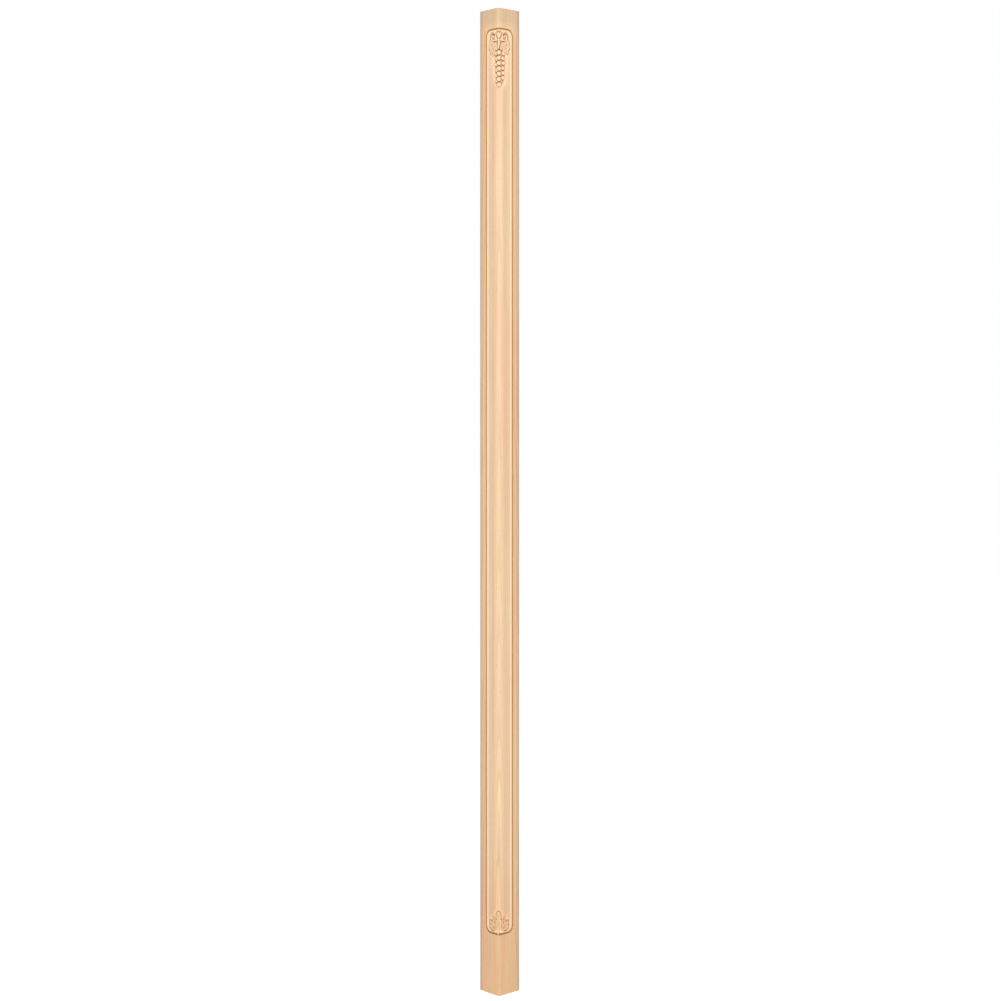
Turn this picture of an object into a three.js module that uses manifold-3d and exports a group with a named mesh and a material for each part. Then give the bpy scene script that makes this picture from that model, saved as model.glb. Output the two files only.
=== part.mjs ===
// A carved corner post for a tall cabinet, in one piece of hardwood. It stands on its lower end,
// centred on the origin, in millimetres. The carved corner points between +X and -Y, and the two
// plain faces at the back, -X and +Y, meet the cabinet.
import * as THREE from "three";
import { mergeVertices } from "three/addons/utils/BufferGeometryUtils.js";
import Module from "manifold-3d";

const wasm = await Module();
wasm.setup();

// The blank: a square length of wood with three eased edges and one show corner.
const postHeight = 2438;
const postSide = 69.85;
const arrisRadius = 1.6; // the three plain long edges
const blockCornerRadius = 9.5; // the show corner, in the plain blocks above and below the panel

// The panel between the blocks, which wraps round the show corner inside a routed groove.
const panelTopMargin = 50.5; // the groove's middle, below the upper end
const panelBottomMargin = 151; // the groove's middle, above the lower end
const panelSideMargin = 22; // the groove's middle, in from the back edge of each show face
const panelCornerRadius = 14; // the show corner inside the panel
const frameRadius = 17; // the groove's turn at each corner of the panel
const grooveWidth = 3.2;
const grooveDepth = 3;
const shoulderWidth = 4.5; // the panel's edge rolls down into the groove over this width

// The carving, which stands in hollowed ground and never leaves the square of the blank.
const grapeMotifHeight = 143; // from the groove's middle down to the lowest grape
const leafMotifHeight = 57; // from the groove's middle up to the leaf's tip
const motifClearance = 10; // from the widest leaf to the groove's middle
const groundDepth = 3.4; // the hollowed ground, below the panel
const groundMargin = 1.6; // how much of the ground shows round each leaf
const leafRise = 2; // the most that a leaf stands out from the panel's round corner
const skim = 0.25; // the highest carving stays this far under the blank's surface

// Facets.
const cornerSteps = 8;
const edgeSteps = 3;
const turnSteps = 5;
const petalRound = 10;
const petalLong = 8;
const scrollLong = 18;
const grapeRound = 10;
const grapeLong = 7;

const halfSide = postSide / 2;
const lower = panelBottomMargin;
const upper = postHeight - panelTopMargin;
const cornerArc = (panelCornerRadius * Math.PI) / 4; // from the show corner's middle to its flat face
const panelHalf = cornerArc + postSide - panelCornerRadius - panelSideMargin;
const motifHalf = panelHalf - motifClearance;
const overCorner = (Math.SQRT2 - 1) * panelCornerRadius; // from the round corner to the square one
const zAxis = new THREE.Vector3(0, 0, 1);

// Solids and booleans.

function solidOf(geometry) {
  const bare = geometry.clone();
  bare.deleteAttribute("normal");
  bare.deleteAttribute("uv");
  const merged = mergeVertices(bare, 1e-4);
  return new wasm.Manifold(
    new wasm.Mesh({
      numProp: 3,
      vertProperties: new Float32Array(merged.attributes.position.array),
      triVerts: new Uint32Array(merged.index.array),
    }),
  );
}

function geometryOf(solid) {
  const mesh = solid.getMesh();
  const geometry = new THREE.BufferGeometry();
  geometry.setAttribute("position", new THREE.BufferAttribute(mesh.vertProperties, 3));
  geometry.setIndex(new THREE.BufferAttribute(mesh.triVerts, 1));
  geometry.computeVertexNormals();
  return geometry;
}

function joined(solids) {
  return solids.reduce((whole, solid) => whole.add(solid));
}

// Moves every vertex of a closed geometry to where place(x, y, z, index) puts it.
function reshaped(geometry, place) {
  const position = geometry.attributes.position;
  for (let i = 0; i < position.count; i++) {
    const point = place(position.getX(i), position.getY(i), position.getZ(i), i);
    position.setXYZ(i, point.x, point.y, point.z);
  }
  return geometry;
}

// A place on the panel: across from the show corner's middle line, right when seen from outside,
// up the post, and out from the panel's surface.
function onPanel(across, up, out) {
  const turn = THREE.MathUtils.clamp(across / panelCornerRadius, -Math.PI / 4, Math.PI / 4);
  const along = across - turn * panelCornerRadius;
  const outward = new THREE.Vector3(Math.SQRT1_2, -Math.SQRT1_2, 0).applyAxisAngle(zAxis, turn);
  const sideways = new THREE.Vector3(Math.SQRT1_2, Math.SQRT1_2, 0).applyAxisAngle(zAxis, turn);
  const centre = halfSide - panelCornerRadius;
  return new THREE.Vector3(centre, -centre, up)
    .addScaledVector(outward, panelCornerRadius + out)
    .addScaledVector(sideways, along);
}

// How far a leaf may stand out from the panel's surface inside the square of the blank.
function roomAt(across) {
  const turn = Math.min(Math.abs(across) / panelCornerRadius, Math.PI / 4);
  const toFace = panelCornerRadius / Math.cos(Math.PI / 4 - turn) - panelCornerRadius;
  return Math.min(leafRise, toFace) - skim;
}

// The blank, the round of its show corner, and the groove.

function blank() {
  const shape = new THREE.Shape();
  const plainCorners = [
    [1, 1, 0],
    [-1, 1, 1],
    [-1, -1, 2],
  ];
  shape.moveTo(halfSide, -halfSide);
  for (const [sideX, sideY, quarter] of plainCorners) {
    for (let i = 0; i <= edgeSteps; i++) {
      const angle = ((quarter + i / edgeSteps) * Math.PI) / 2;
      shape.lineTo(
        sideX * (halfSide - arrisRadius) + arrisRadius * Math.cos(angle),
        sideY * (halfSide - arrisRadius) + arrisRadius * Math.sin(angle),
      );
    }
  }
  shape.closePath();
  return solidOf(new THREE.ExtrudeGeometry(shape, { depth: postHeight, bevelEnabled: false }));
}

// The wood that comes off the show corner over one stretch of the post.
function cornerCut(radius, from, to) {
  const centre = halfSide - radius;
  const beyond = halfSide + 1;
  const shape = new THREE.Shape();
  shape.moveTo(beyond, -beyond);
  shape.lineTo(beyond, -centre);
  for (let i = 0; i <= cornerSteps; i++) {
    const angle = (-Math.PI / 2) * (i / cornerSteps);
    shape.lineTo(centre + radius * Math.cos(angle), -centre + radius * Math.sin(angle));
  }
  shape.lineTo(centre, -beyond);
  shape.closePath();
  const geometry = new THREE.ExtrudeGeometry(shape, { depth: to - from, bevelEnabled: false });
  return solidOf(geometry.translate(0, 0, from));
}

// The stations of the groove's middle line, once round the panel, each with its way outwards.
function frameStations() {
  const straightHalf = panelHalf - frameRadius;
  const span = Math.min(cornerArc, straightHalf);
  const stations = [];
  const turn = (side, up, quarter) => {
    for (let i = 0; i <= turnSteps; i++) {
      const angle = ((quarter + i / turnSteps) * Math.PI) / 2;
      stations.push({
        across: side * straightHalf + frameRadius * Math.cos(angle),
        up: up + frameRadius * Math.sin(angle),
        outAcross: Math.cos(angle),
        outUp: Math.sin(angle),
      });
    }
  };
  const run = (up, outUp) => {
    for (let i = 0; i <= cornerSteps; i++) {
      const across = outUp * span * (1 - (2 * i) / cornerSteps);
      stations.push({ across, up, outAcross: 0, outUp });
    }
  };
  turn(1, upper - frameRadius, 0);
  run(upper, 1);
  turn(-1, upper - frameRadius, 1);
  turn(-1, lower + frameRadius, 2);
  run(lower, -1);
  turn(1, lower + frameRadius, 3);
  return stations;
}

// The groove's section as [outwards, out from the surface]: a steep outer wall, a narrow floor and
// the panel's rolled edge.
function grooveSection() {
  const half = grooveWidth / 2;
  const over = overCorner + 1;
  const section = [
    [half * 0.6, -grooveDepth],
    [half, over],
    [-half - shoulderWidth, over],
  ];
  for (let i = 0; i <= edgeSteps; i++) {
    const angle = ((i / edgeSteps) * Math.PI) / 2;
    section.push([
      -half - shoulderWidth * (1 - Math.sin(angle)),
      -grooveDepth * (1 - Math.cos(angle)),
    ]);
  }
  return section;
}

function grooveCut() {
  const stations = frameStations();
  const section = grooveSection();
  const ring = new THREE.TorusGeometry(2, 1, section.length, stations.length);
  const perRow = stations.length + 1;
  const placed = reshaped(ring, (x, y, z, index) => {
    const station = stations[(index % perRow) % stations.length];
    const [outwards, out] = section[Math.floor(index / perRow) % section.length];
    return onPanel(
      station.across + outwards * station.outAcross,
      station.up + outwards * station.outUp,
      out,
    );
  });
  return solidOf(placed);
}

// Leaves, stems and scrolls are petals: a spine on the panel, from root to tip, and a half width
// as a share of the motif's.

// A spine that bows sideways by a share of its length.
function bowed([rootAcross, rootUp], [tipAcross, tipUp], bow = 0) {
  const root = new THREE.Vector2(rootAcross, rootUp);
  const run = new THREE.Vector2(tipAcross, tipUp).sub(root);
  const side = new THREE.Vector2(-run.y, run.x);
  const middle = root.clone().addScaledVector(run, 0.5).addScaledVector(side, 2 * bow);
  return new THREE.QuadraticBezierCurve(root, middle, root.clone().add(run));
}

// A spine that comes in along a stalk and winds to its heart, from one radius and angle to another.
function wound([heartAcross, heartUp], [fromRadius, toRadius], [fromAngle, toAngle], stalk) {
  const points = [];
  for (let i = 0; i <= scrollLong; i++) {
    const share = i / scrollLong;
    const angle = THREE.MathUtils.degToRad(fromAngle + (toAngle - fromAngle) * share);
    const radius =
      fromRadius + (toRadius - fromRadius) * share + stalk * Math.exp(-share / 0.045);
    points.push(
      new THREE.Vector2(
        heartAcross + radius * motifHalf * Math.cos(angle),
        heartUp + radius * motifHalf * Math.sin(angle),
      ),
    );
  }
  return new THREE.SplineCurve(points);
}

// A ball stretched along a petal's spine. heightAt gives how far out each of its points lies.
function petalShape({ spine, halfWidth, blunt = 0.4, side = 1, long = petalLong }, heightAt) {
  const ball = new THREE.SphereGeometry(1, petalRound, long);
  const placed = reshaped(ball, (x, y, z) => {
    const share = (1 - y) / 2;
    const point = spine.getPoint(share);
    const way = spine.getTangent(share);
    const offset = side * x * halfWidth * motifHalf * (1.3 - (1 - blunt) * share);
    const across = side * (point.x - way.y * offset);
    return onPanel(across, point.y + way.x * offset, heightAt(across, x, z));
  });
  return solidOf(placed);
}

// The raised petal, creased along its middle like a vein.
function petal(spec) {
  const floor = -groundDepth - 1;
  const { rise = 1, crease = 0.5 } = spec;
  return petalShape(spec, (across, x, z) => {
    if (z <= 0) return floor + z;
    const vein = crease * Math.exp(-((x / 0.25) ** 2)) * z;
    return floor + rise * (roomAt(across) - floor) * Math.sqrt(z) - vein;
  });
}

// The ground hollowed out round a petal.
function petalGround(spec) {
  const wider = { ...spec, halfWidth: spec.halfWidth + groundMargin / motifHalf };
  return petalShape(wider, (across, x, z) =>
    z >= 0 ? z * (overCorner + 1) : -groundDepth * Math.sqrt(-z),
  );
}

function bothSides(specs) {
  return specs.flatMap((spec) => [spec, { ...spec, side: -1 }]);
}

// The carving under the panel's top: a calyx, two scrolls and two leaves over a bunch of grapes.

function fromTop(acrossShare, downShare) {
  return [acrossShare * motifHalf, upper - downShare * grapeMotifHeight];
}

function calyx() {
  return [
    ...bothSides([
      { spine: bowed(fromTop(0.02, 0.165), fromTop(0.27, 0.085), 0.12), halfWidth: 0.08 },
      { spine: bowed(fromTop(0.01, 0.15), fromTop(0.15, 0.055), -0.06), halfWidth: 0.075 },
    ]),
    { spine: bowed(fromTop(0, 0.175), fromTop(0, 0.055)), halfWidth: 0.075, blunt: 0.8 },
    {
      spine: bowed(fromTop(0, 0.15), fromTop(-0.02, 0.36)),
      halfWidth: 0.06,
      blunt: 1,
      crease: 0,
    },
  ];
}

const scrollHeart = [0.55, 0.147];

function scrolls() {
  const spine = wound(fromTop(...scrollHeart), [0.205, 0.045], [198, 690], 0.33);
  return bothSides([{ spine, halfWidth: 0.05, blunt: 0.7, crease: 0, long: scrollLong }]);
}

// Each scroll turns in a round hollow of its own, and its stalk comes in along a narrow one.
function scrollBeds() {
  const [across, down] = scrollHeart;
  const round = bowed(fromTop(across - 0.3, down - 0.012), fromTop(across + 0.34, down - 0.012));
  const stalk = bowed(fromTop(0.04, 0.187), fromTop(0.6, 0.19), -0.07);
  return bothSides([
    { spine: round, halfWidth: 0.225, blunt: 1 },
    { spine: stalk, halfWidth: 0.06, blunt: 1 },
  ]);
}

function sideLeaves() {
  return bothSides([
    { spine: bowed(fromTop(0.58, 0.2), fromTop(0.95, 0.245), 0.12), halfWidth: 0.115, blunt: 0.7 },
    { spine: bowed(fromTop(0.36, 0.225), fromTop(0.18, 0.38), -0.06), halfWidth: 0.115, blunt: 0.8 },
    { spine: bowed(fromTop(0.54, 0.21), fromTop(0.96, 0.345), 0.1), halfWidth: 0.135, blunt: 0.7 },
    { spine: bowed(fromTop(0.5, 0.22), fromTop(0.82, 0.43), 0.06), halfWidth: 0.14, blunt: 0.7 },
    { spine: bowed(fromTop(0.45, 0.225), fromTop(0.52, 0.46), 0.02), halfWidth: 0.14, blunt: 0.7 },
  ]);
}

// Three staggered columns of grapes. Their places count in grape radii from the middle of the
// first grape in the middle column.

const grapeRadius = 0.037 * grapeMotifHeight;
const grapeColumns = [
  { across: -1.75, sway: -0.15, drop: 0.3, pitch: 2.6, rows: 6 },
  { across: 2.8, sway: 0.16, drop: 0.2, pitch: 2.3, rows: 6 },
  { across: -0.1, sway: 0.32, drop: 0, pitch: 2.5, rows: 7 },
];

function grapePlaces() {
  const top = fromTop(0, 0.413)[1];
  return grapeColumns.flatMap(({ across, sway, drop, pitch, rows }) =>
    Array.from({ length: rows }, (_, row) => [
      (across + (row % 2 ? -sway : sway)) * grapeRadius,
      top - (drop + row * pitch) * grapeRadius,
    ]),
  );
}

// A grape touches the square of the blank from inside.
function grape([across, up]) {
  const reach = halfSide - grapeRadius - skim;
  const centre = onPanel(across, up, 0);
  const ball = new THREE.SphereGeometry(grapeRadius, grapeRound, grapeLong).rotateX(Math.PI / 2);
  ball.translate(Math.min(centre.x, reach), Math.max(centre.y, -reach), up);
  return solidOf(ball);
}

// The long hollow that the bunch hangs in.
function grapeGround() {
  const spine = bowed(fromTop(0.07, 0.29), fromTop(0.05, 1.07));
  const deepest = 1.4 * groundDepth;
  return petalShape({ spine, halfWidth: 0.5, blunt: 0.8 }, (across, x, z) =>
    z >= 0 ? z * (overCorner + 1) : -deepest * Math.sqrt(-z),
  );
}

// The leaf that stands on the panel's foot, with a tail over the groove.

function fromFoot(acrossShare, upShare) {
  return [acrossShare * motifHalf, lower + upShare * leafMotifHeight];
}

function footLeaf() {
  return [
    ...bothSides([
      { spine: bowed(fromFoot(0.14, 0.25), fromFoot(0.92, 0.28), -0.03), halfWidth: 0.16, blunt: 0.8 },
      { spine: bowed(fromFoot(0.1, 0.2), fromFoot(0.88, 0.53), -0.08), halfWidth: 0.19, blunt: 0.7 },
      { spine: bowed(fromFoot(0.05, 0.18), fromFoot(0.55, 0.74), -0.02), halfWidth: 0.19, blunt: 0.7 },
    ]),
    { spine: bowed(fromFoot(0, 0.14), fromFoot(-0.04, 1)), halfWidth: 0.2, blunt: 0.6 },
  ];
}

// The tail lies across the groove, so it is set in after the ground is hollowed.
function footTail() {
  return { spine: bowed(fromFoot(0, 0.25), fromFoot(-0.06, -0.08)), halfWidth: 0.08, crease: 0 };
}

function cornerPost() {
  const square = blank();
  const flat = [...calyx(), ...sideLeaves(), ...footLeaf()];
  const hollowed = square
    .subtract(cornerCut(blockCornerRadius, -1, lower))
    .subtract(cornerCut(panelCornerRadius, lower, upper))
    .subtract(cornerCut(blockCornerRadius, upper, postHeight + 1))
    .subtract(grooveCut())
    .subtract(grapeGround())
    .subtract(joined([...flat, ...scrollBeds()].map(petalGround)));
  const carving = joined([
    ...[...flat, ...scrolls(), footTail()].map(petal),
    ...grapePlaces().map(grape),
  ]);
  return hollowed.add(carving.intersect(square));
}

const wood = new THREE.MeshStandardMaterial({ color: 0xe6c39a, roughness: 0.6, metalness: 0 });

const post = new THREE.Mesh(geometryOf(cornerPost()), wood);
post.name = "corner_post";

const part = new THREE.Group();
part.add(post);

export default part;
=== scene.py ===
import math
import bmesh
import bpy
import numpy as np
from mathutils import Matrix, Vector


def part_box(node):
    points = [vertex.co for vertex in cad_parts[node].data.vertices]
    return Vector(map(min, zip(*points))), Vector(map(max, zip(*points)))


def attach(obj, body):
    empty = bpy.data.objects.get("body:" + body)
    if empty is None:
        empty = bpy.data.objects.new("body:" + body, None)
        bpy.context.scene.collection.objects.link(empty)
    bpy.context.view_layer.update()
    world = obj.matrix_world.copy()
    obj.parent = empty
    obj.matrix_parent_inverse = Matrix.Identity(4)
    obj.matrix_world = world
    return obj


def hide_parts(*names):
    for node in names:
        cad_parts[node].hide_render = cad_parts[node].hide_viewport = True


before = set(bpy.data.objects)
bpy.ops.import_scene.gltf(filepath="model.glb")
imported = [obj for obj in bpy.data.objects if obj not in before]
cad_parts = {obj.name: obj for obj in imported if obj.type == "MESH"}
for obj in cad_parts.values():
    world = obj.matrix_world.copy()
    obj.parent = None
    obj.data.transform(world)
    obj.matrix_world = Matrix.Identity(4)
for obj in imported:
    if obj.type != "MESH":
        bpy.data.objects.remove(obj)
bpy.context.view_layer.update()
postLow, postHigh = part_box("corner_post")
postHeight = postHigh.z - postLow.z
halfSide = (postHigh.x - postLow.x) / 2
mm = 0.001
print("frame loaded")

view = {
    "azimuth": 47.8,  # degrees, almost straight at the show corner
    "distance": 4.49,  # from the middle of the post
    "eyeHeight": 1.487,
    "lens": 64.8,
    "shiftX": 0.0003,
    "shiftY": -0.1072,  # the camera stays level and the picture slides down the post
}


def compass(azimuth, elevation=0):  # the way from the post to a thing seen at these angles
    a, e = math.radians(azimuth), math.radians(elevation)
    return Vector((math.sin(a) * math.cos(e), -math.cos(a) * math.cos(e), math.sin(e)))


def addCamera():
    camera = bpy.data.objects.new("camera", bpy.data.cameras.new("camera"))
    bpy.context.scene.collection.objects.link(camera)
    bpy.context.scene.camera = camera
    away = compass(view["azimuth"])
    camera.location = away * view["distance"] + Vector((0, 0, view["eyeHeight"]))
    camera.rotation_euler = (-away).to_track_quat("-Z", "Y").to_euler()
    camera.data.lens = view["lens"]
    camera.data.shift_x = view["shiftX"]
    camera.data.shift_y = view["shiftY"]


addCamera()
print("camera placed")


class Wire:  # a shader socket that can be used in sums

    def __init__(self, material, socket):
        self.material = material
        self.socket = socket

    def maths(self, operation, first, second=0.0):
        return addNode(self.material, "ShaderNodeMath", {"operation": operation}, {0: first, 1: second})

    def __add__(self, other):
        return self.maths("ADD", self, other)

    def __sub__(self, other):
        return self.maths("SUBTRACT", self, other)

    def __mul__(self, other):
        return self.maths("MULTIPLY", self, other)

    def __truediv__(self, other):
        return self.maths("DIVIDE", self, other)

    def __pow__(self, other):
        return self.maths("POWER", self, other)

    def __rsub__(self, other):
        return self.maths("SUBTRACT", other, self)

    __radd__ = __add__
    __rmul__ = __mul__


def addNode(material, kind, settings=None, sockets=None, output=0):
    node = material.node_tree.nodes.new(kind)
    for name, value in (settings or {}).items():
        if name == "stops":  # a ramp's stops, as {place: colour}
            ramp = node.color_ramp
            while len(ramp.elements) < len(value):
                ramp.elements.new(1)
            for element, (place, colour) in zip(ramp.elements, value.items()):
                element.position = place
                element.color = colour
        else:
            setattr(node, name, value)
    for name, value in (sockets or {}).items():
        if isinstance(value, Wire):
            material.node_tree.links.new(value.socket, node.inputs[name])
        else:
            node.inputs[name].default_value = value
    return Wire(material, node.outputs[output])


def newMaterial(name):
    material = bpy.data.materials.new(name)
    material.use_nodes = True
    return material, material.node_tree.nodes["Principled BSDF"]


def feed(material, shader, socket, wire):
    material.node_tree.links.new(wire.socket, shader.inputs[socket])


wood = {
    "sapwood": (0.78, 0.58, 0.38, 1),
    "latewood": (0.60, 0.375, 0.205, 1),
    "pinkish": (0.80, 0.525, 0.355, 1),
    "creamy": (0.82, 0.62, 0.375, 1),
    "pore": (0.42, 0.25, 0.13, 1),
    # painted shade, mixed into the cuts and the groove
    "paintedShadeColour": (0.36, 0.15, 0.022, 1),
    # painted highlight, mixed onto the crests, the panel's rolled edge and the grapes' tops
    "paintedHighlightColour": (0.92, 0.69, 0.46, 1),
    "ringWidth": 3.4 * mm,
    "season": {0.0: 0.55, 0.1: 0.05, 0.55: 0.12, 0.97: 1.0},  # how dark a ring is, across its width
    "pith": (-62 * mm, 62 * mm),  # the tree's middle, behind the post
    "lean": 0.0075,  # how fast the rings drift across the post on the way up
    "wander": 30 * mm,  # and how far they stray from round
    "patchStrength": 0.7,  # how much each feature changes the colour
    "streakStrength": 0.85,
    "fibreStrength": 0.4,
    "poreStrength": 0.4,
    "fleckStrength": 0.35,
    "paintedHighlightStrength": 0.6,
    "paintedShadeStrength": 0.8,
    "topShade": (0.86, 0.86, 0.85, 1),  # the end blocks are a little darker than the panel
    "topFade": 25 * mm,  # above the panel
    "footShade": (0.94, 0.86, 0.77, 1),
    "footFade": (250 * mm, -20 * mm),  # from above the panel's lower end to below it
    "marginShade": (0.96, 0.89, 0.83, 1),  # outside the panel the shaft is a little browner
    "paintedEdgeShade": (0.76, 0.86, 1.0, 1),  # painted shade: darker and greyer towards the back edges, where the faces turn away from the light, and over the plain back faces
    "backReach": 18 * mm,
    "roughness": 0.56,
    "specular": 0.35,
    "grainRelief": 0.12 * mm,  # how deep the bare wood's grain feels
    "bumpStrength": 0.35,
}


def woodMaterial():
    material, shader = newMaterial("bareHardwood")

    def node(kind, settings=None, sockets=None, output=0):
        return addNode(material, kind, settings, sockets, output)

    def fade(value, low, high, newLow=0.0, newHigh=1.0):
        sockets = {0: value, 1: low, 2: high, 3: newLow, 4: newHigh}
        return node("ShaderNodeMapRange", {"interpolation_type": "SMOOTHSTEP"}, sockets)

    def mix(factor, first, second, blend="MIX"):
        settings = {"data_type": "RGBA", "blend_type": blend}
        return node("ShaderNodeMix", settings, {0: factor, 6: first, 7: second}, 2)

    def axes(vector):
        return [node("ShaderNodeSeparateXYZ", None, {0: vector}, axis) for axis in range(3)]

    def vectorMaths(operation, first, second):
        return node("ShaderNodeVectorMath", {"operation": operation}, {0: first, 1: second})

    place = node("ShaderNodeTexCoord", None, None, 3)

    def noise(fine, long, shift=0.0, detail=2.0, roughness=0.5, output=0):  # across and along the post
        stretch = {0: place, 1: (shift, shift, shift), 3: (fine, fine, long)}
        vector = node("ShaderNodeMapping", None, stretch)
        sockets = {"Vector": vector, "Scale": 1.0, "Detail": detail, "Roughness": roughness}
        return node("ShaderNodeTexNoise", None, sockets, output)

    # growth rings: shells round a leaning, wandering pith
    wander = vectorMaths("SUBTRACT", noise(9, 1.1, output=1), (0.5, 0.5, 0.5))
    wander = vectorMaths("MULTIPLY", wander, (wood["wander"], wood["wander"], 0.0))
    x, y, z = axes(vectorMaths("ADD", place, wander))
    east = x - wood["pith"][0] - z * wood["lean"]
    north = y - wood["pith"][1] + z * wood["lean"]
    fromPith = (east * east + north * north) ** 0.5
    ring = fromPith / wood["ringWidth"] + noise(30, 0.6, 3.0) * 1.2
    season = node("ShaderNodeMath", {"operation": "FRACT"}, {0: ring})
    stops = {share: (dark, dark, dark, 1) for share, dark in wood["season"].items()}
    latewood = node("ShaderNodeValToRGB", {"stops": stops}, {0: season})
    contrast = fade(noise(14, 1.6, 8.0), 0.3, 0.7, 0.25, 0.8)

    # fibres and pores: long along the post, fine across it
    fibre = noise(900, 14, detail=3.0, roughness=0.6)
    streak = noise(160, 2.6, 5.0)
    pores = fade(noise(1500, 90, 2.0, 1.0), 0.66, 0.74)
    fleck = fade(noise(420, 45, 11.0, 1.0), 0.68, 0.76)
    broad = fade(noise(34, 2.2, 17.0, 1.0), 0.35, 0.65)
    patches = fade(noise(70, 5.0, 23.0, 1.0), 0.4, 0.65)

    colour = mix(broad, wood["sapwood"], wood["pinkish"])
    colour = mix(patches * wood["patchStrength"], colour, wood["creamy"])
    colour = mix(latewood * contrast, colour, wood["latewood"])
    colour = mix(streak * wood["streakStrength"], colour, mix(0.55, colour, wood["latewood"]))
    colour = mix(fibre * wood["fibreStrength"], colour, mix(0.5, colour, wood["pore"]))
    colour = mix(pores * wood["poreStrength"], colour, wood["pore"])
    colour = mix(fleck * wood["fleckStrength"], colour, wood["pore"])

    # the shaft's margins and its ends each have their own tone, and painted shade greys it towards the
    # back edges and over the back faces
    across, away, height = axes(place)

    def beyond(start, end):  # towards either back face, from these distances to it
        left = fade(across, start - halfSide, end - halfSide)
        right = fade(away, halfSide - start, halfSide - end)
        return node("ShaderNodeMath", {"operation": "MINIMUM"}, {0: left + right, 1: 1.0})

    inTop = fade(height, panelTop, panelTop + wood["topFade"])
    inFoot = fade(height, *(panelBottom + reach for reach in wood["footFade"]))
    inMargin = beyond(post["panelSideMargin"] + 1 * mm, post["panelSideMargin"] - 2 * mm)
    colour = mix(inMargin * (1 - inTop - inFoot), colour, wood["marginShade"], "MULTIPLY")
    colour = mix(beyond(wood["backReach"], 3 * mm), colour, wood["paintedEdgeShade"], "MULTIPLY")
    colour = mix(inTop, colour, wood["topShade"], "MULTIPLY")
    colour = mix(inFoot, colour, wood["footShade"], "MULTIPLY")

    # end grain is darker; painted shade darkens the cuts and a painted highlight lightens the crests
    normal = node("ShaderNodeNewGeometry", None, None, 1)
    endGrain = node("ShaderNodeMath", {"operation": "ABSOLUTE"}, {0: axes(normal)[2]})
    colour = mix(fade(endGrain, 0.35, 1.0, 0.0, 0.45), colour, wood["latewood"], "MULTIPLY")
    hollow = node("ShaderNodeAttribute", {"attribute_name": "hollow"}, None, 2)
    crest = node("ShaderNodeAttribute", {"attribute_name": "crest"}, None, 2)
    colour = mix(crest * wood["paintedHighlightStrength"], colour, wood["paintedHighlightColour"])
    colour = mix(hollow * wood["paintedShadeStrength"], colour, wood["paintedShadeColour"])
    feed(material, shader, "Base Color", colour)

    feed(material, shader, "Roughness", wood["roughness"] + fibre * 0.12 + endGrain * 0.08 - 0.06)
    grain = fibre * 0.6 + streak * 0.3 - pores * 0.8 - fleck * 0.6 - latewood * 0.15
    relief = {"Strength": wood["bumpStrength"], "Distance": wood["grainRelief"], "Height": grain}
    feed(material, shader, "Normal", node("ShaderNodeBump", None, relief))
    shader.inputs["Specular IOR Level"].default_value = wood["specular"]
    return material


post = {
    "blockCornerRadius": 9.5 * mm,  # the show corner above and below the panel
    "panelCornerRadius": 14 * mm,  # the show corner inside the panel
    "arrisRadius": 1.6 * mm,
    "endEase": 0.5 * mm,
    "panelTopMargin": 50.5 * mm,  # to the middle of the groove
    "panelBottomMargin": 151 * mm,
    "panelSideMargin": 22 * mm,
    "frameRadius": 17 * mm,
    "grooveWidth": 3.2 * mm,
    "grooveDepth": 3.0 * mm,
    "outerWallSlope": 3.2,
    "shoulderWidth": 4.5 * mm,  # the groove's inner edge is rolled over this
    "surfaceBlend": 0.25 * mm,
    "dishDepth": 0.6 * mm,  # the flats of the panel are planed a little hollow
    "dishWidth": 9 * mm,
    "coarse": 1.5 * mm,  # the mesh's spacing in the carved stretches, before it is refined
    "fine": 0.5 * mm,  # and across the groove
    "sparse": 40 * mm,  # and along the plain shaft
    "refineMargin": 3 * mm,  # the mesh is refined this far round the carving
    "outlineReach": 3.4 * mm,  # and once more this close to a leaf's or a grape's outline
    "turnReach": 1.8 * mm,  # and to the groove where it turns
}
carving = {
    "grapeMotifHeight": 143 * mm,
    "leafMotifHeight": 57 * mm,
    "motifClearance": 10 * mm,
    "groundDepth": 4.0 * mm,
    "groundMargin": 1.1 * mm,  # flat ground round each leaf
    "groundSlope": 1.9 * mm,  # the ground's edge climbs back to the panel over this
    "bunchDepth": 4.8 * mm,  # the hollow behind the grapes
    "bunchSlope": 6.0 * mm,
    "bunchShift": 2.5 * mm,  # the right column hangs further out than the left one
    "bunchWidths": (22 * mm, 17 * mm),  # half the hollow's width at its top and at its end
    "leafRise": 2.0 * mm,  # over the panel's round corner
    "skim": 0.25 * mm,
    "wall": 0.9 * mm,  # a leaf's side climbs over this
    "notchWidth": 0.9 * mm,  # the cut that parts a lobe from the one under it
    "notchDepth": 1.5 * mm,
    "scoop": 1.5 * mm,  # a lobe is gouged hollow between its edges
    "veinDepth": 0.3 * mm,
    "blend": 0.3 * mm,
    "grapeRadius": 0.037,  # a share of the motif's height
    "eyeDepth": 2.4 * mm,  # the small drilled hollows between lobes
    "eyeRadius": 1.3 * mm,
    "strokeDepth": 2.0 * mm,  # the bold gouge cuts over the scrolls and beside the foot leaf
    "massDrop": 1.1 * mm,  # the rough mass of the leaves stays this far under their tops
    "grapeTop": 0.413,  # the first grape, as a share of the motif's height below the panel's top
    "bunchStretch": (0.42, 0.88),  # the hollow, from and to, in the same shares
    "shadeRounds": 60,  # how widely a place is compared with its surroundings, for the painted shade and highlight
    "hollowReach": 0.9 * mm,  # a cut this far below its surroundings gets its full painted shade, a crest this far above them its full painted highlight
}
cornerRadius = post["panelCornerRadius"]
cornerArc = cornerRadius * math.pi / 4
panelHalf = cornerArc + 2 * halfSide - cornerRadius - post["panelSideMargin"]
motifHalf = panelHalf - carving["motifClearance"]
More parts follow.
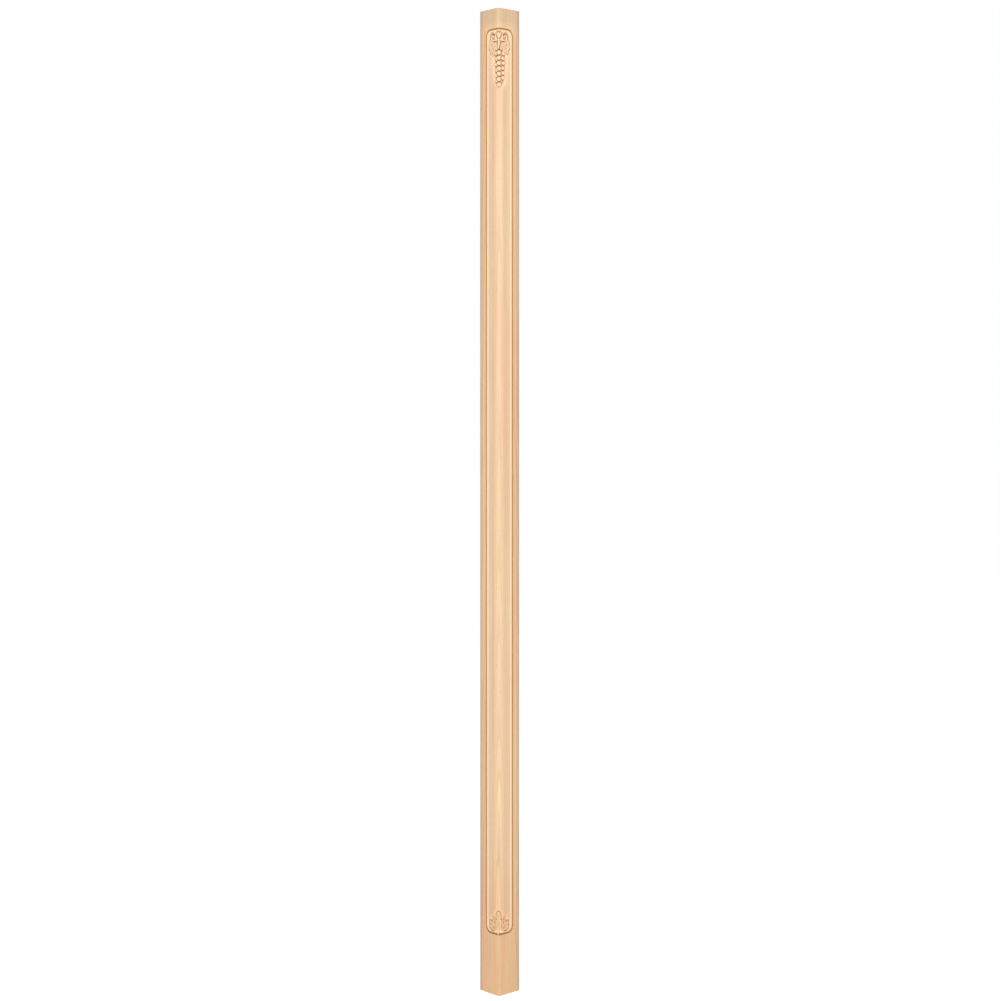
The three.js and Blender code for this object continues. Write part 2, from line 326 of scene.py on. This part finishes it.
panelTop = postHeight - post["panelTopMargin"]
panelBottom = post["panelBottomMargin"]
grapeRadius = carving["grapeRadius"] * carving["grapeMotifHeight"]

# places across the unrolled skin, from the show corner to the back edge
arris = post["arrisRadius"]
backHalf = halfSide - arris
faceEnd = cornerArc + backHalf + (halfSide - cornerRadius)
arrisEnd = faceEnd + arris * math.pi / 2
backEnd = arrisEnd + 2 * backHalf


def smoothStep(values, low, high):
    t = np.clip((values - low) / (high - low), 0, 1)
    return t * t * (3 - 2 * t)


def softMin(first, second, reach):
    t = np.clip(0.5 + 0.5 * (second - first) / reach, 0, 1)
    return second + (first - second) * t - reach * t * (1 - t)


def softMax(first, second, reach):
    return -softMin(-first, -second, reach)


def toSquare(across):  # from the panel's round corner out to the blank's square one
    turn = np.minimum(np.abs(across) / cornerRadius, math.pi / 4)
    return cornerRadius / np.cos(math.pi / 4 - turn) - cornerRadius


def toBlockCorner(across):  # from the panel's round corner out to the blocks' tighter one
    radius = post["blockCornerRadius"]
    slack = cornerRadius - radius
    turn = np.minimum(np.abs(across) / cornerRadius, math.pi / 4)
    ahead = math.sqrt(2) * slack
    reach = np.sqrt(np.maximum(radius**2 - (ahead * np.sin(turn)) ** 2, 0))
    arc = ahead * np.cos(turn) + reach - cornerRadius
    return np.where(turn < math.pi / 4 - math.atan(slack / cornerRadius), arc, toSquare(across))


def frameDistance(across, up):  # outwards from the groove's middle line
    radius = post["frameRadius"]
    middle, halfHigh = (panelTop + panelBottom) / 2, (panelTop - panelBottom) / 2
    x = np.abs(across) - (panelHalf - radius)
    z = np.abs(up - middle) - (halfHigh - radius)
    outer = np.hypot(np.maximum(x, 0), np.maximum(z, 0))
    return outer + np.minimum(np.maximum(x, z), 0) - radius


def plainHeight(across, up):  # the shaped post before it is carved, out from the panel's surface
    outwards = frameDistance(across, up)
    inBlock = (up > panelTop) | (up < panelBottom)
    flat = smoothStep(np.abs(across), cornerArc, cornerArc + post["dishWidth"])
    inside = smoothStep(-outwards, post["grooveWidth"], post["grooveWidth"] + post["dishWidth"])
    surface = np.where(inBlock, toBlockCorner(across), -post["dishDepth"] * flat * inside)
    half, depth = post["grooveWidth"] / 2, post["grooveDepth"]
    roll = np.clip((-half - outwards) / post["shoulderWidth"], 0, 1)
    shoulder = -depth * (1 - np.sqrt(1 - (1 - roll) ** 2))
    outerWall = -depth + (outwards - 0.3 * half) * post["outerWallSlope"]
    groove = np.maximum(np.where(outwards < 0, shoulder, -depth), outerWall)
    groove = np.where(roll >= 1, 1, groove)
    return softMin(surface, groove, post["surfaceBlend"])


# a petal has a spine, a half width as a share of the motif's, and a tip that is more or less blunt
def bowed(root, tip, bow=0.0):  # a spine that bows sideways by a share of its length
    root, tip = np.array(root), np.array(tip)
    run = tip - root
    middle = root + run / 2 + 2 * bow * np.array((-run[1], run[0]))
    t = np.linspace(0, 1, 41)[:, None]
    return (1 - t) ** 2 * root + 2 * t * (1 - t) * middle + t**2 * tip


def wound(heart, radii, angles, stalk):  # a spine that comes in along a stalk and winds to its heart
    t = np.linspace(0, 1, 161)
    angle = np.radians(angles[0] + (angles[1] - angles[0]) * t)
    radius = (radii[0] + (radii[1] - radii[0]) * t + stalk * np.exp(-t / 0.045)) * motifHalf
    return np.stack((heart[0] + radius * np.cos(angle), heart[1] + radius * np.sin(angle)), 1)


def onPetal(petal, across, up):  # how far over, along and inside a petal each place lies
    spine = petal["spine"]
    places = np.stack((petal.get("side", 1) * across, up), 1)
    steps = np.linalg.norm(np.diff(spine, axis=0), axis=1)
    length = steps.sum()
    run = np.concatenate(((0,), np.cumsum(steps)))
    ways = np.gradient(spine, axis=0)
    ways /= np.linalg.norm(ways, axis=1)[:, None]
    margin = 2 * petal["halfWidth"] * motifHalf + 4 * mm  # places further off are left out
    near = np.all((places > spine.min(0) - margin) & (places < spine.max(0) + margin), 1)
    gaps = places[near][:, None, :] - spine[None]
    nearest = np.argmin((gaps**2).sum(2), 1)
    gap = gaps[np.arange(len(nearest)), nearest]
    way = ways[nearest]
    share = (run[nearest] + (gap * way).sum(1)) / length
    offset = gap[:, 1] * way[:, 0] - gap[:, 0] * way[:, 1]
    taper = 1.3 - (1 - petal.get("blunt", 0.4)) * np.clip(share, 0, 1)
    local = petal["halfWidth"] * motifHalf * taper
    x, y = offset / local, 2 * share - 1
    q = np.maximum(np.hypot(x, y), 1e-6)
    inside = (1 - q) / np.hypot(x / (q * local), 2 * y / (q * length))
    found = [np.full(len(across), value) for value in (9.0, 0.0, -1.0)]
    for whole, part in zip(found, (x, share, inside)):
        whole[near] = part
    return found


def bothSides(petals):
    return [{**petal, "side": side} for petal in petals for side in (1, -1)]


def fromTop(acrossShare, downShare):
    return acrossShare * motifHalf, panelTop - downShare * carving["grapeMotifHeight"]


def fromFoot(acrossShare, upShare):
    return acrossShare * motifHalf, panelBottom + upShare * carving["leafMotifHeight"]


def calyx():
    return [
        *bothSides([
            {"spine": bowed(fromTop(0.02, 0.165), fromTop(0.27, 0.085), 0.12), "halfWidth": 0.08},
            {"spine": bowed(fromTop(0.01, 0.15), fromTop(0.15, 0.055), -0.06), "halfWidth": 0.075},
        ]),
        {"spine": bowed(fromTop(0, 0.175), fromTop(0, 0.055)), "halfWidth": 0.075, "blunt": 0.8},
    ]


def stem():
    spine = bowed(fromTop(0, 0.15), fromTop(-0.02, 0.36))
    return {"spine": spine, "halfWidth": 0.06, "blunt": 1, "flat": 0.4, "sink": 1.8 * mm}


scrollHeart = (0.55, 0.147)


def scrolls():
    spine = wound(fromTop(*scrollHeart), (0.205, 0.045), (198, 690), 0.33)
    return bothSides([{"spine": spine, "halfWidth": 0.066, "blunt": 0.6, "flat": 0.4}])


def scrollBeds():
    across, down = scrollHeart
    spine = bowed(fromTop(across - 0.14, down - 0.012), fromTop(across + 0.34, down - 0.012))
    return bothSides([{"spine": spine, "halfWidth": 0.225, "blunt": 1}])


# "cut" is the depth of the notch round a lobe and "sink" how far its tip lies below its root
def leafLobe(root, tip, bow, halfWidth, **more):
    return {"spine": bowed(root, tip, bow), "halfWidth": halfWidth, "blunt": 0.7, **more}


def sideLeaves():  # from the lobe at the back to the one in front
    soft = {"cut": 0.4, "sink": 0.8 * mm}
    return bothSides([
        leafLobe(fromTop(0.58, 0.2), fromTop(0.95, 0.245), 0.12, 0.115),
        leafLobe(fromTop(0.36, 0.225), fromTop(0.18, 0.38), -0.06, 0.115, cut=0.6),
        leafLobe(fromTop(0.54, 0.21), fromTop(0.96, 0.345), 0.1, 0.135, **soft),
        leafLobe(fromTop(0.5, 0.22), fromTop(0.82, 0.43), 0.06, 0.14, **soft),
        leafLobe(fromTop(0.45, 0.225), fromTop(0.52, 0.46), 0.02, 0.14, **soft),
    ])


def leafEyes():  # across, up
    eyes = [fromTop(*place) for place in ((0.39, 0.31), (0.61, 0.33), (0.73, 0.275))]
    eyes += [fromFoot(*place) for place in ((0.17, 0.66), (0.46, 0.47), (0.5, 0.24))]
    return [(side * across, up) for across, up in eyes for side in (1, -1)]


def footLeaf():
    soft = {"cut": 0.4, "sink": 0.9 * mm}
    return [
        *bothSides([
            leafLobe(fromFoot(0.14, 0.25), fromFoot(0.92, 0.28), -0.03, 0.16, gap=0.6 * mm),
            leafLobe(fromFoot(0.1, 0.2), fromFoot(0.88, 0.53), -0.08, 0.19, **soft),
            leafLobe(fromFoot(0.05, 0.18), fromFoot(0.55, 0.74), -0.02, 0.19, **soft),
        ]),
        leafLobe(fromFoot(0, 0.14), fromFoot(-0.04, 1), 0, 0.2, **soft),
    ]


def strokes():  # one over each scroll and one on each side of the foot leaf
    return bothSides([
        {"spine": bowed(fromTop(0.89, 0.145), fromTop(0.34, 0.105), -0.27), "halfWidth": 0.065},
        {"spine": bowed(fromFoot(0.89, 0.42), fromFoot(0.64, 0.13), 0.18), "halfWidth": 0.075},
    ])


def footTail():
    spine = bowed(fromFoot(0, 0.25), fromFoot(-0.06, -0.08))
    return {"spine": spine, "halfWidth": 0.08, "merged": True}


# in grape radii, from the first grape of the middle column; rows sway to and fro in turn
grapeColumns = [
    {"across": -1.75, "sway": -0.15, "drop": 0.3, "pitch": 2.6, "rows": 6},
    {"across": 2.8, "sway": 0.16, "drop": 0.2, "pitch": 2.3, "rows": 6},
    {"across": -0.1, "sway": 0.32, "drop": 0, "pitch": 2.5, "rows": 7},
]
laidOrders = (0, 1, 2), (0, 2, 1)  # the columns in even and in odd rows, the one in front last


def grapePlaces():  # across, up and radius
    top = fromTop(0, carving["grapeTop"])[1]
    places = []
    for row in range(max(column["rows"] for column in grapeColumns)):
        for index in laidOrders[row % 2]:
            column = grapeColumns[index]
            if row < column["rows"]:
                across = column["across"] + (-column["sway"] if row % 2 else column["sway"])
                down = column["drop"] + row * column["pitch"]
                places.append((across * grapeRadius, top - down * grapeRadius, grapeRadius))
    return places


def wrapped(across, up, out):  # places on the post, from across, up and out from the panel's surface
    side = np.abs(across)
    centre = halfSide - cornerRadius
    turn = np.clip(side / cornerRadius, 0, math.pi / 4) - math.pi / 4
    x = centre + (cornerRadius + out) * np.cos(turn)
    y = -centre + (cornerRadius + out) * np.sin(turn)
    face = side > cornerArc
    x, y = np.where(face, halfSide + out, x), np.where(face, -centre + side - cornerArc, y)
    turn = np.clip((side - faceEnd) / arris, 0, math.pi / 2)
    edge = side > faceEnd
    x = np.where(edge, backHalf + (arris + out) * np.cos(turn), x)
    y = np.where(edge, backHalf + (arris + out) * np.sin(turn), y)
    back = side > arrisEnd
    x, y = np.where(back, backHalf - (side - arrisEnd), x), np.where(back, halfSide + out, y)
    turn = math.pi / 2 + np.clip((side - backEnd) / arris, 0, math.pi / 4)
    last = side > backEnd
    x = np.where(last, -backHalf + (arris + out) * np.cos(turn), x)
    y = np.where(last, backHalf + (arris + out) * np.sin(turn), y)
    left = across < 0
    return np.stack((np.where(left, -y, x), np.where(left, -x, y), up), 1)


def grapeHeight(grape, across, up):  # along each place's normal, to a ball within the square blank
    grapeAcross, grapeUp, radius = grape
    reach = halfSide - radius - carving["skim"]
    centre = wrapped(*(np.array([value]) for value in (grapeAcross, grapeUp, 0.0)))[0]
    centre = np.array((min(centre[0], reach), max(centre[1], -reach), grapeUp))
    near = np.hypot(across - grapeAcross, up - grapeUp) < 2.2 * radius
    base = wrapped(across[near], up[near], np.zeros(near.sum()))
    normal = wrapped(across[near], up[near], np.ones(near.sum())) - base
    gap = centre - base
    along = (gap * normal).sum(1)
    inside = radius**2 - (gap**2).sum(1) + along**2
    height = np.full(len(across), -1.0)
    height[near] = np.where(inside > 0, along + np.sqrt(np.maximum(inside, 0)), -1.0)
    edge = np.full(len(across), -1.0)
    edge[near] = radius - np.sqrt(np.maximum((gap**2).sum(1) - along**2, 0))
    return height, edge


def ridge(x, width):
    return np.exp(-((x / width) ** 2))


def notch(inside):  # the cut that parts a shape from what was laid before it
    width = carving["notchWidth"]
    return ridge(inside + width / 2, width / 1.5) * (inside < 0.3 * mm)


def layLobe(height, lobe, across, up, top):  # a gouged and veined lobe, laid over what is there
    x, share, inside = onPetal(lobe, across, up)
    free = smoothStep(share, 0.08, 0.35)  # it grows out of what is under its root
    cut = notch(inside) * free
    height = height - carving["notchDepth"] * cut * lobe.get("cut", 1)
    top = top - lobe.get("sink", 0) * np.clip(share, 0, 1)
    body = top - 0.7 * mm * (1 - share) ** 2 - 0.9 * mm * np.clip(share, 0, 1) ** 4
    gouge = carving["scoop"] * ridge(x, 0.5) * smoothStep(share, 0.1, 0.35)
    body = body - gouge * (1 - smoothStep(share, 0.75, 1))
    body = body + 0.6 * mm * ridge(x, 0.13) * (1 - 0.6 * share)
    veins = 0.5 + 0.5 * np.cos(2 * math.pi * (7 * share - 1.6 * np.abs(x)))
    body = body - carving["veinDepth"] * veins**3 * free * smoothStep(np.abs(x), 0.1, 0.3)
    body = body - 0.8 * mm * np.exp(-np.maximum(inside, 0) / (0.5 * mm))
    cover = smoothStep(inside, 0, carving["wall"]) * smoothStep(share, 0, 0.25)
    return height + (body - height) * cover, inside


# a round band, such as a stem or a scroll; one that is merged has no root of its own
def layBand(height, band, across, up, top):
    x, share, inside = onPetal(band, across, up)
    cut = notch(inside)
    free = smoothStep(share, 0.3, 0.6) if band.get("merged") else 1
    height = height - 0.8 * carving["notchDepth"] * cut * (1 - band.get("flat", 0)) * free
    body = top - (1 - band.get("flat", 0)) * 1.6 * mm * np.clip(x, -1, 1) ** 2
    body = body - band.get("sink", 0) * np.clip(share, 0, 1)
    cover = smoothStep(inside, 0, 0.5 * carving["wall"]) * free
    return height + (body - height) * cover, inside


def layGrape(height, grape, across, up, floor):  # each ball is parted from those already laid
    ball, edge = grapeHeight(grape, across, up)
    lowest = floor - 0.6 * mm  # its notch goes only a little below the hollow
    height = np.maximum(height - carving["notchDepth"] * notch(edge), lowest)
    return np.where(edge > 0, np.maximum(ball, floor), height), edge


def groundFade(across, up):  # the ground is shallower by the stem and towards the leaves' tips
    footTip = 0.65 * smoothStep(up - panelBottom, 20 * mm, 42 * mm)
    leafTips = 0.5 * smoothStep(panelTop - up, 50 * mm, 64 * mm)
    byStem = 0.4 * (1 - smoothStep(np.abs(across), 5 * mm, 10 * mm))
    inFoot = up < (panelTop + panelBottom) / 2
    return 1 - np.where(inFoot, footTip, np.maximum(leafTips, byStem))


def insideBunch(across, up):  # how far inside the hollow behind the grapes each place lies
    top, end = (fromTop(0, share)[1] for share in carving["bunchStretch"])
    t = np.clip((top - up) / (top - end), 0, 1)
    axis = top + (end - top) * t
    wide, narrow = carving["bunchWidths"]
    return wide + (narrow - wide) * t - np.hypot(across - carving["bunchShift"], up - axis)


# the height of every place, how near it is to a carved outline and how far inside the carving
def carve(across, up):
    height = plainHeight(across, up)
    top = np.minimum(carving["leafRise"], toSquare(across)) - carving["skim"]
    lobes = [*sideLeaves(), *footLeaf()]
    bands = [*scrolls(), stem(), footTail()]
    inBunch = insideBunch(across, up)
    scoop = smoothStep(inBunch, 0, carving["bunchSlope"])
    height = height + (np.minimum(-carving["bunchDepth"], height) - height) * scoop

    # the ground round the leaves
    inBed = np.full(len(across), -1.0)
    for bed in [*lobes, *calyx(), stem(), *scrollBeds()]:
        inBed = np.maximum(inBed, onPetal(bed, across, up)[2] + bed.get("gap", 0))
    margin = carving["groundMargin"]
    sunk = smoothStep(inBed, -margin - carving["groundSlope"], -margin)
    # the foot leaf grows out of the groove's shoulder, so there is no ground under its root
    rooted = smoothStep(np.abs(across), 15 * mm, 20 * mm)
    rooted = np.maximum(rooted, smoothStep(up - panelBottom, 10 * mm, 16 * mm))
    ground = np.minimum(-carving["groundDepth"] * groundFade(across, up), height)
    height = height + (ground - height) * sunk * rooted

    for lobe in [*lobes, *calyx()]:  # the rough mass first
        inside = onPetal(lobe, across, up)[2]
        swell = np.sin(np.clip(inside / (2 * mm), 0, 1) * math.pi / 2)
        mass = ground + (top - carving["massDrop"] - ground) * swell
        height = np.where(inside > 0, softMax(height, mass, carving["blend"]), height)

    # then everything in the order in which it overlaps
    nearLine = np.full(len(across), 1.0)
    floor = height
    for place in grapePlaces():
        height, inside = layGrape(height, place, across, up, floor)
        nearLine = np.minimum(nearLine, np.abs(inside))
    for stroke in strokes():
        inside = onPetal(stroke, across, up)[2]
        height = height - carving["strokeDepth"] * smoothStep(inside, -0.8 * mm, 1.0 * mm)
    for lobe in lobes:
        height, inside = layLobe(height, lobe, across, up, top)
        nearLine = np.minimum(nearLine, np.abs(inside))
    for eyeAcross, eyeUp in leafEyes():
        away = np.hypot(across - eyeAcross, 0.6 * (up - eyeUp))
        height = height - carving["eyeDepth"] * ridge(away, carving["eyeRadius"])
    for band in bands:
        height, inside = layBand(height, band, across, up, top)
        nearLine = np.minimum(nearLine, np.abs(inside))
    for lobe in calyx():
        height, inside = layLobe(height, lobe, across, up, top)
        nearLine = np.minimum(nearLine, np.abs(inside))
    blank = np.maximum(toSquare(across) - carving["skim"], plainHeight(across, up))
    height = np.minimum(height, blank)
    carved = np.maximum(inBed, inBunch - carving["bunchSlope"])
    return height, nearLine, carved


def stations(stops):  # places from stop to stop, each stretch with its own spacing
    places = [stops[0][0]]
    for (start, spacing), (end, _) in zip(stops, stops[1:]):
        count = max(1, round((end - start) / spacing))
        places.extend(np.linspace(start, end, count + 1)[1:])
    return np.array(places)


def postGrid():  # the post's skin laid flat: x across from the show corner, y up the post
    coarse, fine, sparse = post["coarse"], post["fine"], post["sparse"]
    half = stations([
        (0, coarse),
        (panelHalf - 7.5 * mm, fine),
        (panelHalf + 2.5 * mm, 4 * mm),
        (faceEnd - 1 * mm, 1 * mm),
        (faceEnd, arris * math.pi / 8),
        (arrisEnd, 1 * mm),
        (arrisEnd + 1 * mm, 20 * mm),
        (backEnd - 1 * mm, 1 * mm),
        (backEnd, arris * math.pi / 8),
        (backEnd + arris * math.pi / 4, 1),
    ])
    columns = np.concatenate((-half[:0:-1], half))
    ease = post["endEase"]
    rows = stations([
        (0, ease),
        (ease, 3 * mm),
        (ease + 3 * mm, sparse),
        (panelBottom - 2.5 * mm, fine),
        (panelBottom + 7.5 * mm, coarse),
        (panelBottom + carving["leafMotifHeight"] + 8 * mm, sparse),
        (panelTop - carving["grapeMotifHeight"] * 1.18, coarse),
        (panelTop - 7.5 * mm, fine),
        (panelTop + 2.5 * mm, sparse / 2),
        (postHeight - ease - 3 * mm, 3 * mm),
        (postHeight - ease, ease),
        (postHeight, 1),
    ])
    bm = bmesh.new()
    bmesh.ops.create_grid(bm, x_segments=len(columns) - 1, y_segments=len(rows) - 1, size=1)
    for vert in bm.verts:
        i = round((vert.co.x + 1) / 2 * (len(columns) - 1))
        j = round((vert.co.y + 1) / 2 * (len(rows) - 1))
        vert.co = (columns[i], rows[j], 0)
    return bm


def refine(bm, wanted):  # cuts the faces that the carving asks for into four
    centres = np.array([face.calc_center_median()[:] for face in bm.faces])
    chosen = wanted(centres[:, 0], centres[:, 1])
    edges = {edge for face, yes in zip(bm.faces, chosen) if yes for edge in face.edges}
    bmesh.ops.subdivide_edges(bm, edges=list(edges), cuts=1, use_grid_fill=True)


def inCarving(across, up):
    return carve(across, up)[2] > -post["refineMargin"]


def onOutline(across, up):
    _, nearLine, carved = carve(across, up)
    turning = (np.abs(across) > panelHalf - post["frameRadius"]) & (
        np.minimum(np.abs(up - panelTop), np.abs(up - panelBottom)) < post["frameRadius"]
    )
    corner = turning & (np.abs(frameDistance(across, up)) < post["turnReach"])
    outlined = (carved > -post["refineMargin"]) & (nearLine < post["outlineReach"])
    return outlined | corner


def paintedShading(bm, across, up, height):  # painted shade in the cuts and painted highlight on the crests, the panel's rolled edge and the grapes' tops
    pairs = np.array([[vert.index for vert in edge.verts] for edge in bm.edges])
    count = np.bincount(pairs.ravel(), minlength=len(height))
    around = height.copy()
    for _ in range(carving["shadeRounds"]):
        total = np.bincount(pairs[:, 0], around[pairs[:, 1]], len(height))
        total += np.bincount(pairs[:, 1], around[pairs[:, 0]], len(height))
        around = total / count
    # painted shade where a place lies below its surroundings, and in the groove
    hollow = np.clip((around - height - 0.1 * mm) / carving["hollowReach"], 0, 1)
    crest = np.clip((height - around) / carving["hollowReach"], 0, 1)
    outwards = frameDistance(across, up)
    spread = 1 + 0.45 * (1 - smoothStep(up - panelBottom, 5 * mm, 25 * mm))  # the groove's painted shade is wider at the foot
    inGroove = 1 - smoothStep(np.abs(outwards) / spread, 0.6 * mm, 2.6 * mm)
    hollow = np.maximum(hollow, inGroove * smoothStep(-height, 0.6 * mm, 1.8 * mm))
    # painted highlight where a place rises above its surroundings inside the panel
    crest = crest * (outwards < -2 * mm) * 0.8
    crest = np.maximum(crest, ridge(outwards + 7.2 * mm, 3.2 * mm))  # a painted highlight along the panel's rolled edge
    # and a painted highlight on the top of each grape
    for grape in grapePlaces():
        inside = grapeHeight(grape, across, up)[1]
        crest = np.maximum(crest, 0.9 * smoothStep(inside, 0.3 * grapeRadius, 0.8 * grapeRadius))
    return hollow, crest


def postPiece():
    bm = postGrid()
    refine(bm, inCarving)
    refine(bm, onOutline)
    across, up = np.array([vert.co[:2] for vert in bm.verts]).T
    height = carve(across, up)[0]
    hollow, crest = paintedShading(bm, across, up, height)
    atEnd = (up < 1e-7) | (up > postHeight - 1e-7)
    height = np.where(atEnd, height - post["endEase"], height)

    # the masks of painted shade and painted highlight, read by the material
    paintedShadeLayer = bm.verts.layers.float.new("hollow")
    paintedHighlightLayer = bm.verts.layers.float.new("crest")
    for vert, place, low, high in zip(bm.verts, wrapped(across, up, height), hollow, crest):
        vert.co = place
        vert[paintedShadeLayer] = low
        vert[paintedHighlightLayer] = high

    # the skin closes along the back edge, then the two ends are filled
    seam = [vert for vert in bm.verts if vert.is_boundary]
    bmesh.ops.remove_doubles(bm, verts=seam, dist=0.01 * mm)
    rims = [edge for edge in bm.edges if edge.is_boundary]
    bmesh.ops.holes_fill(bm, edges=rims, sides=0)
    for edge in rims:
        edge.smooth = False
    bmesh.ops.recalc_face_normals(bm, faces=bm.faces)
    for face in bm.faces:
        face.smooth = True
    mesh = bpy.data.meshes.new("cornerPost")
    bm.to_mesh(mesh)
    bm.free()
    piece = bpy.data.objects.new("cornerPost", mesh)
    bpy.context.scene.collection.objects.link(piece)
    return piece


cornerPost = postPiece()
cornerPost.data.materials.append(woodMaterial())
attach(cornerPost, "root")
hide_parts("corner_post")
print("post carved:", sum(len(face.vertices) - 2 for face in cornerPost.data.polygons), "triangles")

studio = {
    "floorRadius": 30,
    "floorColour": (0.96, 0.96, 0.96, 1),
    "floorRoughness": 0.9,
    "floorGlow": 0.41,
    "skyStrength": 0.62,
}


def addFloor():
    bm = bmesh.new()
    bmesh.ops.create_circle(bm, cap_ends=True, segments=64, radius=studio["floorRadius"])
    mesh = bpy.data.meshes.new("floor")
    bm.to_mesh(mesh)
    bm.free()
    floor = bpy.data.objects.new("floor", mesh)
    bpy.context.scene.collection.objects.link(floor)
    material, shader = newMaterial("paleFloor")
    shader.inputs["Base Color"].default_value = studio["floorColour"]
    shader.inputs["Roughness"].default_value = studio["floorRoughness"]
    shader.inputs["Emission Color"].default_value = (1, 1, 1, 1)
    shader.inputs["Emission Strength"].default_value = studio["floorGlow"]
    mesh.materials.append(material)


def addLamp(name, azimuth, elevation, distance, aim, watts, width, height):
    lamp = bpy.data.objects.new(name, bpy.data.lights.new(name, "AREA"))
    lamp.data.shape = "RECTANGLE"
    lamp.data.size = width
    lamp.data.size_y = height
    lamp.data.energy = watts
    away = compass(azimuth, elevation)
    lamp.location = away * distance + Vector((0, 0, aim))
    lamp.rotation_euler = (-away).to_track_quat("-Z", "Y").to_euler()
    bpy.context.scene.collection.objects.link(lamp)


def addSky():  # plain white to the camera, whatever the strength of its light
    sky = bpy.data.worlds.new("sky")
    sky.use_nodes = True
    tree = sky.node_tree
    light = tree.nodes["Background"]
    light.inputs["Color"].default_value = (1, 1, 1, 1)
    light.inputs["Strength"].default_value = studio["skyStrength"]
    seen = tree.nodes.new("ShaderNodeBackground")
    path = tree.nodes.new("ShaderNodeLightPath")
    choose = tree.nodes.new("ShaderNodeMixShader")
    tree.links.new(path.outputs["Is Camera Ray"], choose.inputs[0])
    tree.links.new(light.outputs[0], choose.inputs[1])
    tree.links.new(seen.outputs[0], choose.inputs[2])
    tree.links.new(choose.outputs[0], tree.nodes["World Output"].inputs["Surface"])
    seen.inputs["Color"].default_value = (1, 1, 1, 1)
    bpy.context.scene.world = sky


addFloor()
addSky()
addLamp("key", azimuth=45, elevation=52, distance=4.2, aim=1.1, watts=42, width=2.4, height=1.6)
addLamp("front", azimuth=49, elevation=4, distance=4.9, aim=1.3, watts=75, width=1.6, height=3.0)
bpy.context.scene.view_settings.view_transform = "Standard"
print("studio lit")
